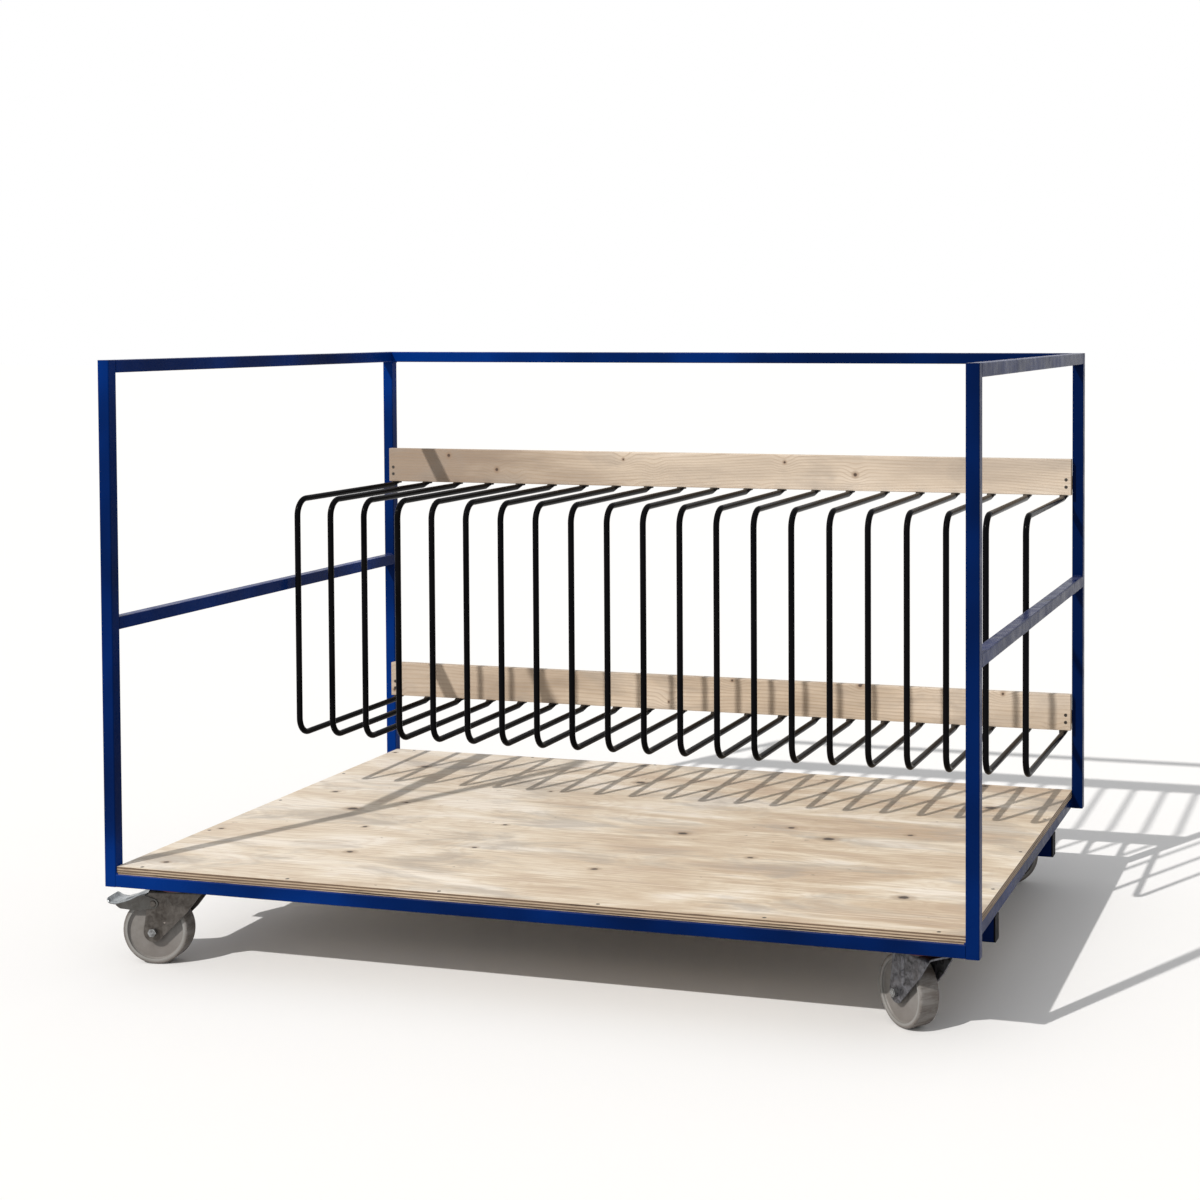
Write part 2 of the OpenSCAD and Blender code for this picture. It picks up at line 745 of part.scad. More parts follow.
module castor_bolts() {
    color("silver") for (c = CORNERS) at_castor(c) at_bolts() {
        translate([0, 0, corner_t]) cylinder(r = hex_r, h = head_h, $fn = 6);
        translate([0, 0, -plate_t - nut_h - 1])
            cylinder(d = bolt_d, h = corner_t + plate_t + nut_h + 1);
        translate([0, 0, -plate_t - nut_h]) difference() {
            cylinder(r = hex_r, h = nut_h, $fn = 6);
            translate([0, 0, -1]) cylinder(d = bolt_d + 2 * screw_fit, h = nut_h + 2);
        }
    }
}

// Countersunk screw that points down from the surface
module countersunk_screw(d, head, l) {
    translate([0, 0, -screw_sink]) rotate_extrude() polygon([
        [0, 0], [head / 2, 0], [d / 2, -(head - d) / 2], [d / 2, -l + d], [0, -l]
    ]);
}

module wood_screws() {
    color("dimgray") {
        at_deck_screws() countersunk_screw(deck_screw_d, deck_screw_head, deck_screw_l);
        at_board_screws() countersunk_screw(deck_screw_d, deck_screw_head, board_screw_l);
        for (z = [lower_board_z, upper_board_z]) at_hoop_ends(z) translate([0, 0, -tab_t]) {
            translate([0, 0, -hoop_screw_head_h])
                cylinder(d1 = hoop_screw_head - 2, d2 = hoop_screw_head, h = hoop_screw_head_h);
            cylinder(d = hoop_screw_d, h = hoop_screw_l);
        }
    }
}

for (c = CORNERS) post(c);
top_rail_side(-1);  // top_rail_left
top_rail_side(1);  // top_rail_right
top_rail_rear();
guard_rails();
base_rail_long(-1);  // base_rail_front
base_rail_long(1);  // base_rail_rear
base_rail_side(-1);  // base_rail_left
base_rail_side(1);  // base_rail_right
cross_tubes();
cross_tube_caps();
corner_plates();
board_rails();
deck_panel();
board(upper_board_z);  // upper_board
board(lower_board_z);  // lower_board
for (i = [1:hoop_count]) hoop(i);
castor_plates();
dust_seals();
swivel_balls();
for (c = CORNERS) fork(c, c[1] < 0);
for (c = CORNERS) wheel(c);
for (c = CORNERS) axle(c);
for (c = BRAKED) pedal(c);
castor_bolts();
wood_screws();
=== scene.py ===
import json
import math

import bmesh
import bpy
from mathutils import Matrix, Vector, noise


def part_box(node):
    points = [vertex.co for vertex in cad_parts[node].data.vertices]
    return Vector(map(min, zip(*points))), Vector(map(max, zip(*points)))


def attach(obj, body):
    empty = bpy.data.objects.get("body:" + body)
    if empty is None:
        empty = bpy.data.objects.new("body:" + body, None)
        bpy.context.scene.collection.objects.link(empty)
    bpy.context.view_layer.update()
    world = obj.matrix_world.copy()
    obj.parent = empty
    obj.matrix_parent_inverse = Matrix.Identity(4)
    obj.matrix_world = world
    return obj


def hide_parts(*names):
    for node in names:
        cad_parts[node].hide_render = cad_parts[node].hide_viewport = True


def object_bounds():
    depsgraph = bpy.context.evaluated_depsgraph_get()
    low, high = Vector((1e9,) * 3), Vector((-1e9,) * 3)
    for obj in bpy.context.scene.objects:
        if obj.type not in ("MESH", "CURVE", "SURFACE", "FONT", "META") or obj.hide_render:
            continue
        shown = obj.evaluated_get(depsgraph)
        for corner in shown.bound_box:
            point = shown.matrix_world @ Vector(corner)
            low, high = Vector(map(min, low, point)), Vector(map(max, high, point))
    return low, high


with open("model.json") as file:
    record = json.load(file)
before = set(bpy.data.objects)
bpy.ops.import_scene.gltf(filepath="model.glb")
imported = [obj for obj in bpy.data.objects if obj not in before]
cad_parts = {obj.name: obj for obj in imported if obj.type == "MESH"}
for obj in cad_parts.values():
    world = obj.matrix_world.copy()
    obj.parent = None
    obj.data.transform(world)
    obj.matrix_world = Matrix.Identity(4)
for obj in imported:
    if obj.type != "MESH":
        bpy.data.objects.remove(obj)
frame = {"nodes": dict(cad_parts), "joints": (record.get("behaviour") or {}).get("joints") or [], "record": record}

cad_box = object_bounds()
MM = 0.001
CORNERS = ("front_left", "front_right", "rear_left", "rear_right")
JOINTS = {j["name"]: j for j in frame["joints"]}


# Node trees

class Shader:
    """One material's node tree, built by short calls that return sockets."""

    def __init__(self, name, **constants):
        self.material = bpy.data.materials.new(name)
        self.material.use_nodes = True
        self.tree = self.material.node_tree
        self.tree.nodes.clear()
        self.surface = self.node("BsdfPrincipled")
        output = self.node("OutputMaterial")
        self.tree.links.new(self.surface.outputs[0], output.inputs[0])
        self.set(**constants)
        coords = self.node("TexCoord")
        self.place = coords.outputs["Object"]
        self.normal = coords.outputs["Normal"]

    def node(self, kind, **settings):
        n = self.tree.nodes.new("ShaderNode" + kind)
        for key, value in settings.items():
            setattr(n, key, value)
        return n

    def put(self, socket, value):
        if isinstance(value, bpy.types.NodeSocket):
            self.tree.links.new(value, socket)
        elif isinstance(value, tuple) and len(value) == 3 and socket.type == "RGBA":
            socket.default_value = (*value, 1)
        else:
            socket.default_value = value

    def set(self, **values):
        """Values or sockets for the surface, such as roughness=0.4."""
        for key, value in values.items():
            self.put(self.surface.inputs[key.replace("_", " ").title().replace("Ior", "IOR")], value)

    def stretch(self, scale, move=(0, 0, 0), place=None):
        n = self.node("Mapping")
        self.put(n.inputs["Vector"], place or self.place)
        n.inputs["Scale"].default_value = scale
        n.inputs["Location"].default_value = move
        return n.outputs[0]

    def noise(self, place, scale=1.0, detail=2.0, rough=0.5, distort=0.0):
        n = self.node("TexNoise")
        self.put(n.inputs["Vector"], place)
        values = {"Scale": scale, "Detail": detail, "Roughness": rough, "Distortion": distort}
        for key, value in values.items():
            n.inputs[key].default_value = value
        return n.outputs[0]

    def cells(self, place):
        """Distance to the nearest random point of a plane, and that point's random number."""
        n = self.node("TexVoronoi", voronoi_dimensions="2D")
        self.put(n.inputs["Vector"], place)
        n.inputs["Scale"].default_value = 1.0
        split = self.node("SeparateColor")
        self.put(split.inputs[0], n.outputs["Color"])
        return n.outputs["Distance"], split.outputs[0]

    def math(self, operation, a, b=0.0):
        n = self.node("Math", operation=operation)
        self.put(n.inputs[0], a)
        self.put(n.inputs[1], b)
        return n.outputs[0]

    def remap(self, value, low, high, to_low=0.0, to_high=1.0, smooth=False):
        n = self.node("MapRange", interpolation_type="SMOOTHSTEP" if smooth else "LINEAR")
        for i, v in enumerate((value, low, high, to_low, to_high)):
            self.put(n.inputs[i], v)
        return n.outputs[0]

    def mix(self, factor, a, b):
        n = self.node("Mix", data_type="RGBA")
        for i, v in ((0, factor), (6, a), (7, b)):
            self.put(n.inputs[i], v)
        return n.outputs[2]

    def ramp(self, factor, *stops):
        n = self.node("ValToRGB")
        self.put(n.inputs[0], factor)
        points = n.color_ramp.elements
        while len(points) < len(stops):
            points.new(0.5)
        for point, (position, colour) in zip(points, stops):
            point.position = position
            point.color = (*colour, 1)
        return n.outputs[0]

    def bands(self, factor, *edges):
        """0 and 1 by turns along the factor, changing at each edge."""
        n = self.node("ValToRGB")
        self.put(n.inputs[0], factor)
        n.color_ramp.interpolation = "CONSTANT"
        points = n.color_ramp.elements
        points.remove(points[1])
        points[0].color = (0, 0, 0, 1)
        for k, position in enumerate(edges):
            level = (k + 1) % 2
            points.new(position).color = (level, level, level, 1)
        return n.outputs[0]

    def length(self, vector):
        n = self.node("VectorMath", operation="LENGTH")
        self.put(n.inputs[0], vector)
        return n.outputs["Value"]

    def plane(self, a, b):
        n = self.node("CombineXYZ")
        self.put(n.inputs[0], a)
        self.put(n.inputs[1], b)
        return n.outputs[0]

    def axes(self, vector):
        n = self.node("SeparateXYZ")
        self.put(n.inputs[0], vector)
        return n.outputs

    def bump(self, *layers):
        """Height layers as (socket, height in metres), each added to the one before."""
        normal = None
        for height, distance in layers:
            n = self.node("Bump")
            self.put(n.inputs["Height"], height)
            n.inputs["Distance"].default_value = distance
            if normal:
                self.put(n.inputs["Normal"], normal)
            normal = n.outputs[0]
        self.set(normal=normal)


def dust_and_sheen(s, colour, dust_and_sheen_colour, amount):
    """Thin dusting on faces that look up, broken by noise. In a bluish colour it is also a painted sky reflection
    on those faces.
    """
    up = s.remap(s.axes(s.normal)[2], 0.3, 0.95)
    patches = s.remap(s.noise(s.place, 14, 4, 0.6), 0.35, 0.75)
    return s.mix(s.math("MULTIPLY", s.math("MULTIPLY", up, patches), amount), colour, dust_and_sheen_colour)


def blue_paint():
    s = Shader("blue_frame", specular_ior_level=0.03)
    # The paint darkens towards +X: painted shade on the right-hand side of the frame.
    painted_shade_right = s.remap(s.axes(s.place)[0], -1.05, 1.05, -0.08, 0.16)
    broad = s.math("SUBTRACT", s.noise(s.place, 2.6, 3), painted_shade_right)
    colour = s.ramp(broad, (0.32, (0.0003, 0.0085, 0.058)), (0.5, (0.0004, 0.0155, 0.108)),
                    (0.68, (0.0006, 0.028, 0.195)))
    chips = s.remap(s.noise(s.stretch((30, 30, 30)), 6, 3, 0.7), 0.755, 0.775)
    colour = s.mix(s.math("MULTIPLY", chips, 0.4), colour, (0.03, 0.045, 0.10))
    # The bluish film on faces that look up is partly dust and partly a painted sky reflection.
    colour = dust_and_sheen(s, colour, (0.18, 0.19, 0.3), 0.3)
    peel = s.noise(s.place, 520, 2)
    s.set(base_color=colour, roughness=s.remap(s.noise(s.place, 26, 4), 0.3, 0.7, 0.22, 0.36))
    s.bump((peel, 0.0001), (s.noise(s.place, 60, 2), 0.0003))
    return s.material


def black_paint():
    s = Shader("black_hoop", specular_ior_level=0.02)
    colour = s.ramp(s.noise(s.place, 5, 3), (0.3, (0.0026, 0.0027, 0.0034)), (0.7, (0.0052, 0.005, 0.006)))
    rubbed = s.remap(s.noise(s.stretch((140, 9, 140)), 1, 4, 0.7), 0.66, 0.78)
    colour = s.mix(s.math("MULTIPLY", rubbed, 0.14), colour, (0.035, 0.032, 0.03))
    colour = dust_and_sheen(s, colour, (0.04, 0.04, 0.045), 0.08)
    s.set(base_color=colour, roughness=s.remap(s.noise(s.place, 40, 3), 0.3, 0.7, 0.12, 0.2))
    s.bump((s.noise(s.place, 600, 2), 0.00006))
    return s.material


def knots(s, colour, cell, rim_colour, heart_colour, least, most, share):
    """Round knots on a share of the random points, from least to most in the cells' own units."""
    distance, number = cell
    size = s.remap(s.math("POWER", number, 2.0), 0.0, 1.0, least, most)
    there = s.remap(number, 1 - share, 1 - share + 0.02)
    rim = s.remap(distance, size, s.math("MULTIPLY", size, 2.1), 1.0, 0.0, smooth=True)
    heart = s.remap(distance, s.math("MULTIPLY", size, 0.45), size, 1.0, 0.0, smooth=True)
    colour = s.mix(s.math("MULTIPLY", s.math("MULTIPLY", rim, there), 0.5), colour, rim_colour)
    return s.mix(s.math("MULTIPLY", s.math("MULTIPLY", heart, there), 0.92), colour, heart_colour)


def plywood():
    thickness = 0.018
    s = Shader("plywood", specular_ior_level=0.2)
    x, _, z = s.axes(s.place)
    distance, number = s.cells(s.stretch((3.1, 3.7, 0), (0.37, 0.81, 0)))
    ragged = s.noise(s.stretch((60, 60, 0)), 1, 3)
    near_knot = s.remap(distance, 0.0, 0.3, 1.0, 0.0, smooth=True)
    broad = s.noise(s.stretch((2.4, 7.5, 0), (5.2, 1.7, 0)), 1, 5, 0.6, 0.5)
    # Lighter and paler towards the left of the deck: painted light.
    painted_light_left = s.remap(x, 0.45, -0.7)
    colour = s.ramp(s.math("SUBTRACT", broad, s.math("MULTIPLY", painted_light_left, 0.085)),
                    (0.34, (0.95, 0.87, 0.76)), (0.43, (0.83, 0.72, 0.57)), (0.52, (0.70, 0.57, 0.42)),
                    (0.60, (0.60, 0.46, 0.33)), (0.70, (0.52, 0.40, 0.29)))
    colour = s.mix(s.math("MULTIPLY", painted_light_left, 0.3), colour, (0.96, 0.88, 0.77))
    flow = s.noise(s.stretch((0.9, 3.4, 0), (2.3, 7.1, 0)), 1, 3, 0.5, 0.5)
    flow = s.math("ADD", flow, s.math("MULTIPLY", near_knot, 0.06))
    rings = s.remap(s.math("SINE", s.math("MULTIPLY", flow, 170)), -1, 1)
    colour = s.mix(s.remap(rings, 0.5, 1.0, 0.0, 0.2), colour, (0.55, 0.39, 0.25))
    streak = s.noise(s.stretch((2.6, 130, 0), (0.4, 0.6, 0)), 1, 5, 0.7)
    colour = s.mix(s.remap(streak, 0.50, 0.70, 0.0, 0.6), colour, (0.47, 0.35, 0.25))
    colour = s.mix(s.remap(streak, 0.48, 0.30, 0.0, 0.6), colour, (0.97, 0.90, 0.80))
    fibre = s.noise(s.stretch((7, 640, 0)), 1, 4, 0.6)
    colour = s.mix(s.remap(fibre, 0.48, 0.75, 0.0, 0.35), colour, (0.45, 0.35, 0.26))
    grey = s.noise(s.stretch((2.8, 6.5, 0), (9.1, 3.3, 0)), 1, 5, 0.62, 0.8)
    colour = s.mix(s.remap(grey, 0.52, 0.66, 0.0, 0.6), colour, (0.44, 0.385, 0.33))
    specks = s.remap(s.noise(s.stretch((30, 46, 0), (2.2, 7.7, 0)), 1, 2, 0.5), 0.72, 0.77)
    colour = s.mix(s.math("MULTIPLY", specks, 0.6), colour, (0.20, 0.14, 0.10))
    around = s.math("ADD", distance, s.remap(ragged, 0.3, 0.7, -0.007, 0.007))
    colour = knots(s, colour, (around, number), (0.38, 0.27, 0.18), (0.055, 0.042, 0.036),
                   0.020, 0.062, 0.78)

    # The edges show seven plies: thin faces, dark cross plies, glue lines and a few voids.
    # The depth is 0 at the panel's underside and 1 at its top face, which is at the frame's Z = 0.
    depth = s.math("MULTIPLY", s.math("ADD", z, thickness), 1 / thickness)
    wander = s.remap(s.noise(s.stretch((3.4, 3.4, 0)), 1, 4, 0.6), 0.3, 0.7, -0.012, 0.012)
    depth = s.math("ADD", depth, wander)
    crossing = s.bands(depth, 0.10, 0.23, 0.43, 0.57, 0.77, 0.93)
    grain = s.noise(s.stretch((34, 34, 1100)), 1, 5, 0.7)
    long_grain = s.ramp(grain, (0.3, (0.44, 0.325, 0.225)), (0.7, (0.68, 0.545, 0.40)))
    end_grain = s.ramp(grain, (0.3, (0.10, 0.064, 0.042)), (0.7, (0.27, 0.185, 0.12)))
    edge = s.mix(crossing, long_grain, end_grain)
    glue = s.bands(depth, 0.09, 0.105, 0.225, 0.24, 0.42, 0.435, 0.565, 0.58, 0.76, 0.775, 0.925, 0.94)
    edge = s.mix(s.math("MULTIPLY", glue, 0.75), edge, (0.07, 0.043, 0.028))
    hollow = s.remap(s.noise(s.stretch((3.2, 3.2, 90), (4.4, 0.2, 0)), 1, 5, 0.7), 0.55, 0.61)
    edge = s.mix(s.math("MULTIPLY", hollow, s.remap(crossing, 0, 1, 0.3, 1.0)), edge, (0.035, 0.022, 0.016))
    stained = s.remap(s.noise(s.stretch((2.2, 2.2, 9), (1.3, 5.2, 0)), 1, 3), 0.42, 0.66, 0.0, 0.45)
    edge = s.mix(stained, edge, (0.20, 0.13, 0.085))
    side = s.remap(s.math("ABSOLUTE", s.axes(s.normal)[2]), 0.4, 0.6, 1.0, 0.0)
    s.set(base_color=s.mix(side, colour, edge), roughness=s.remap(fibre, 0.3, 0.7, 0.55, 0.72))
    gaps = s.math("MULTIPLY", s.math("ADD", glue, hollow), s.math("MULTIPLY", side, -1.0))
    s.bump((fibre, 0.0003), (streak, 0.0004), (gaps, 0.0007))
    return s.material


def pine():
    s = Shader("pine", specular_ior_level=0.25)
    x, _, z = s.axes(s.place)
    cell = s.cells(s.stretch((6.5, 6.5, 0), (0.2, 0.63, 0), s.plane(x, z)))
    near_knot = s.remap(cell[0], 0.0, 0.30, 1.0, 0.0, smooth=True)
    warp = s.noise(s.stretch((0.8, 3, 3.5), (3.1, 0, 6.2)), 1, 2, 0.5, 0.2)
    line = s.math("ADD", s.math("MULTIPLY", z, 95), s.math("MULTIPLY", warp, 17))
    line = s.math("ADD", line, s.math("MULTIPLY", near_knot, 1.5))
    late = s.math("FRACT", line)
    broad = s.noise(s.stretch((1.8, 2, 9), (0.4, 0, 2.2)), 1, 4, 0.6)
    colour = s.ramp(broad, (0.3, (0.83, 0.72, 0.60)), (0.5, (0.68, 0.56, 0.435)),
                    (0.7, (0.48, 0.385, 0.295)))

    # Both boards are darker at the left. To the right the upper one is lighter and the lower one darker.
    upper = s.remap(z, 0.4, 0.6)
    darker_left = s.remap(s.math("ADD", x, s.remap(broad, 0.3, 0.7, 0.2, -0.2)), -0.3, -0.75, 0.0, 0.8)
    darker_left = s.math("MULTIPLY", darker_left, s.remap(upper, 0.0, 1.0, 0.4, 1.0))
    colour = s.mix(darker_left, colour, (0.31, 0.23, 0.175))
    upper_lighter_right = s.math("MULTIPLY", s.remap(x, -0.5, -0.1, 0.0, 0.25), upper)
    colour = s.mix(upper_lighter_right, colour, (0.9, 0.8, 0.69))
    lower_darker_right = s.math("MULTIPLY", s.remap(x, 0.2, 0.9, 0.0, 0.35), s.math("SUBTRACT", 1.0, upper))
    colour = s.mix(lower_darker_right, colour, (0.5, 0.4, 0.3))

    # Late wood in bands, fibre, stains and knots
    strength = s.remap(s.noise(s.stretch((0.9, 1, 5), (7.7, 0, 1.1)), 1, 2), 0.35, 0.65, 0.22, 0.62)
    rise = s.remap(late, 0.45, 0.92, 0.0, 1.0, smooth=True)
    band = s.math("MULTIPLY", rise, s.remap(late, 0.93, 1.0, 1.0, 0.0))
    colour = s.mix(s.math("MULTIPLY", band, strength), colour, (0.40, 0.27, 0.165))
    fibre = s.noise(s.stretch((6, 420, 420)), 1, 4, 0.65)
    colour = s.mix(s.remap(fibre, 0.45, 0.75, 0.0, 0.4), colour, (0.38, 0.30, 0.22))
    stain = s.noise(s.stretch((4, 3, 9), (3.3, 0, 8.2)), 1, 4, 0.6, 0.6)
    colour = s.mix(s.remap(stain, 0.52, 0.70, 0.0, 0.45), colour, (0.36, 0.31, 0.265))
    colour = knots(s, colour, cell, (0.34, 0.22, 0.14), (0.075, 0.048, 0.036), 0.020, 0.052, 0.8)

    # Growth rings as arcs on the sawn ends
    across = s.length(s.stretch((0, 1, 1), (0, -0.55, 0.10)))
    arcs = s.math("FRACT", s.math("MULTIPLY", across, 260))
    sawn = s.mix(s.remap(arcs, 0.5, 0.9, 0.0, 0.6), (0.58, 0.45, 0.31), (0.34, 0.22, 0.13))
    end = s.remap(s.math("ABSOLUTE", s.axes(s.normal)[0]), 0.7, 0.9)
    s.set(base_color=s.mix(end, colour, sawn), roughness=s.remap(fibre, 0.3, 0.7, 0.5, 0.68))
    s.bump((fibre, 0.0002), (band, 0.00012))
    return s.material


def zinc(name, dark, light, rough, grime, spangles=95, painted_side_shade=None, painted_reflection_right=None):
    """Zinc plating with spangles between dark and light, and grime in patches.

    The side shade colour is painted shade on faces that don't look up, and the right-end pair is a painted sky
    reflection with painted shade at the right end.
    """
    s = Shader(name, metallic=0.8, specular_ior_level=0.3)
    spangle = s.noise(s.place, spangles, 3, 0.6, 0.8)
    colour = s.ramp(spangle, (0.32, dark), (0.68, light))
    cloud = s.noise(s.stretch((1, 1, 0.5)), 16, 3)
    colour = s.mix(s.remap(cloud, 0.42, 0.66, 0.0, 0.45), colour, light)
    # Bluish, with more contrast, towards the right end: a painted sky reflection and painted shade.
    if painted_reflection_right:
        right = s.remap(s.axes(s.place)[0], -0.6, 0.6)
        colour = s.mix(right, colour, s.ramp(spangle, (0.36, painted_reflection_right[0]), (0.62, painted_reflection_right[1])))
    # Faces that don't look up get a darker colour: painted shade.
    if painted_side_shade:
        shaded_sides = s.remap(s.axes(s.normal)[2], 0.1, 0.6, 0.9, 0.0)
        colour = s.mix(shaded_sides, colour, painted_side_shade)
    dirt = s.remap(s.noise(s.stretch((1, 1, 0.5)), 24, 5, 0.65), 0.46, 0.68)
    colour = s.mix(s.math("MULTIPLY", dirt, grime), colour, (0.05, 0.041, 0.034))
    s.set(base_color=colour, roughness=s.remap(spangle, 0.3, 0.7, rough - 0.07, rough + 0.09))
    s.bump((s.noise(s.place, 420, 3), 0.00008), (s.noise(s.place, 34, 2), 0.0005))
    return s.material


def nylon():
    """Wheels: the object's Z is the axle."""
    s = Shader("nylon", specular_ior_level=0.3)
    radius = s.length(s.stretch((1, 1, 0)))
    cloud = s.noise(s.place, 26, 4, 0.6)
    colour = s.ramp(cloud, (0.3, (0.19, 0.175, 0.16)), (0.7, (0.275, 0.262, 0.25)))
    drift = s.noise(s.place, 7, 2)
    colour = s.mix(s.remap(drift, 0.42, 0.62, 0.0, 0.45), colour, (0.16, 0.138, 0.124))
    # A lighter ring on the rim lip: painted highlight.
    lip = s.math("MULTIPLY", s.remap(radius, 0.0665, 0.069), s.remap(radius, 0.072, 0.0745, 1.0, 0.0))
    colour = s.mix(s.math("MULTIPLY", lip, 0.5), colour, (0.36, 0.36, 0.345))
    tread = s.remap(radius, 0.0735, 0.0785)
    scuff = s.remap(s.noise(s.stretch((60, 60, 14)), 1, 5, 0.7), 0.38, 0.62)
    worn = s.math("MULTIPLY", tread, scuff)
    colour = s.mix(s.math("MULTIPLY", worn, 0.8), colour, (0.085, 0.065, 0.052))
    # Darker near the axle bore, between the fork legs: painted shade.
    painted_hub_shade = s.remap(radius, 0.021, 0.036, 1.0, 0.0, smooth=True)
    colour = s.mix(s.math("MULTIPLY", painted_hub_shade, 0.75), colour, (0.07, 0.062, 0.055))
    turned = s.math("FRACT", s.math("MULTIPLY", radius, 700))
    s.set(base_color=colour, roughness=s.remap(cloud, 0.3, 0.7, 0.36, 0.55))
    s.bump((s.noise(s.place, 240, 4, 0.6), 0.00022), (turned, 0.00004), (worn, 0.0004))
    return s.material


def plastic(name, dark, light, rough, specular=0.3):
    s = Shader(name, specular_ior_level=specular)
    cloud = s.noise(s.place, 40, 4, 0.6)
    colour = dust_and_sheen(s, s.ramp(cloud, (0.3, dark), (0.7, light)), (0.13, 0.12, 0.11), 0.2)
    s.set(base_color=colour, roughness=s.remap(cloud, 0.3, 0.7, rough - 0.06, rough + 0.1))
    s.bump((s.noise(s.place, 300, 3), 0.0001))
    return s.material


MATERIALS = {
    "blue_frame": blue_paint(),
    "black_hoop": black_paint(),
    "plywood": plywood(),
    "pine": pine(),
    # The right-hand forks get a bluish painted sky reflection and painted shade.
    "zinc_steel": zinc("zinc_steel", (0.054, 0.047, 0.042), (0.132, 0.12, 0.109), 0.4, 0.45, 60,
                       painted_reflection_right=((0.045, 0.046, 0.051), (0.2, 0.202, 0.222))),
    # The pedal's flanges and other faces that don't look up get painted shade.
    "zinc_pedal": zinc("zinc_pedal", (0.11, 0.125, 0.135), (0.42, 0.445, 0.46), 0.2, 0.35, 70,
                       painted_side_shade=(0.07, 0.065, 0.058)),
    "nylon": nylon(),
    "red_seal": plastic("red_seal", (0.12, 0.012, 0.009), (0.20, 0.024, 0.016), 0.42),
    "black_cap": plastic("black_cap", (0.004, 0.004, 0.006), (0.008, 0.008, 0.01), 0.45, specular=0.02),
    "dark_screws": zinc("dark_screws", (0.05, 0.045, 0.04), (0.12, 0.105, 0.09), 0.42, 0.3),
}
SLOTS = {p["node"]: p["material_slot"] for p in frame["record"]["subparts"]}
for name, obj in frame["nodes"].items():
    obj.material_slots[0].material = MATERIALS[SLOTS[name]]
# A lighter copy of the zinc on the axles, bolts and balls: painted highlight.
zinc_painted_highlight = zinc("zinc_bolts_painted_highlight", (0.13, 0.13, 0.13), (0.42, 0.43, 0.44), 0.22, 0.3)
for name in [f"{corner}_axle" for corner in CORNERS] + ["castor_bolts", "swivel_balls"]:
    frame["nodes"][name].material_slots[0].material = zinc_painted_highlight


# Pieces

def finish_piece(name, bm, body, slot, smooth, place=None):
    """Object from a bmesh, in the shared frame or in its own frame at place.

    Edges that turn by more than smooth degrees stay sharp.
    """
    mesh = bpy.data.meshes.new(name)
    bm.normal_update()
    bm.to_mesh(mesh)
    bm.free()
    mesh.materials.append(MATERIALS[slot])
    mesh.polygons.foreach_set("use_smooth", [True] * len(mesh.polygons))
    mesh.set_sharp_from_angle(angle=math.radians(smooth))
    obj = bpy.data.objects.new(name, mesh)
    bpy.context.scene.collection.objects.link(obj)
    if place is not None:
        obj.matrix_world = place
    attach(obj, body)
    return obj


def skin(bm, rings):
    """Closed solid through rings of points with the same count."""
    rows = [[bm.verts.new(p) for p in ring] for ring in rings]
    count = len(rows[0])
    for a, b in zip(rows, rows[1:]):
        for i in range(count):
            j = (i + 1) % count
            bm.faces.new((a[i], a[j], b[j], b[i]))
    bm.faces.new(rows[0][::-1])
    bm.faces.new(rows[-1])


def weld(bm, start, end, first, second, leg=4.0):
    """Rippled bead along an inner corner between two faces with normals first and second, in mm."""
    spacing, steps_per_ripple, root, sides = 1.1, 2.6, 0.4, 6
    start, end, first, second = map(Vector, (start, end, first, second))
    along = end - start
    steps = max(6, int(along.length / spacing))
    rings = []
    for k in range(steps + 1):
        t = k / steps
        centre = start.lerp(end, t)
        taper = math.sqrt(max(0.0, 1 - (2 * t - 1) ** 10))
        ripple = 1 + 0.10 * math.cos(k * 2 * math.pi / steps_per_ripple) + 0.12 * noise.noise(centre * 0.35)
        size = leg * (0.25 + 0.75 * taper) * ripple
        ring = [centre - root * (first + second)]
        for i in range(sides + 1):
            a = math.pi / 2 * i / sides
            bulge = 0.80 + 0.12 * math.sin(2 * a)
            ring.append(centre + size * bulge * (math.cos(a) * first + math.sin(a) * second))
        rings.append([p * MM for p in ring])
    if along.dot(first.cross(second)) < 0:
        rings.reverse()
    skin(bm, rings)


def solids(node):
    """Lowest and highest corner of each separate solid in a CAD node, in mm."""
    bm = bmesh.new()
    bm.from_mesh(frame["nodes"][node].data)
    bmesh.ops.remove_doubles(bm, verts=bm.verts, dist=1e-6)
    boxes, seen = [], set()
    for start in bm.verts:
        if start in seen:
            continue
        seen.add(start)
        solid = [start]
        for vertex in solid:
            for edge in vertex.link_edges:
                other = edge.other_vert(vertex)
                if other not in seen:
                    seen.add(other)
                    solid.append(other)
        corners = [Vector([pick(v.co[i] for v in solid) for i in range(3)]) for pick in (min, max)]
        boxes.append([corner / MM for corner in corners])
    bm.free()
    return boxes


def box_mm(node):
    low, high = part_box(node)
    return low / MM, high / MM


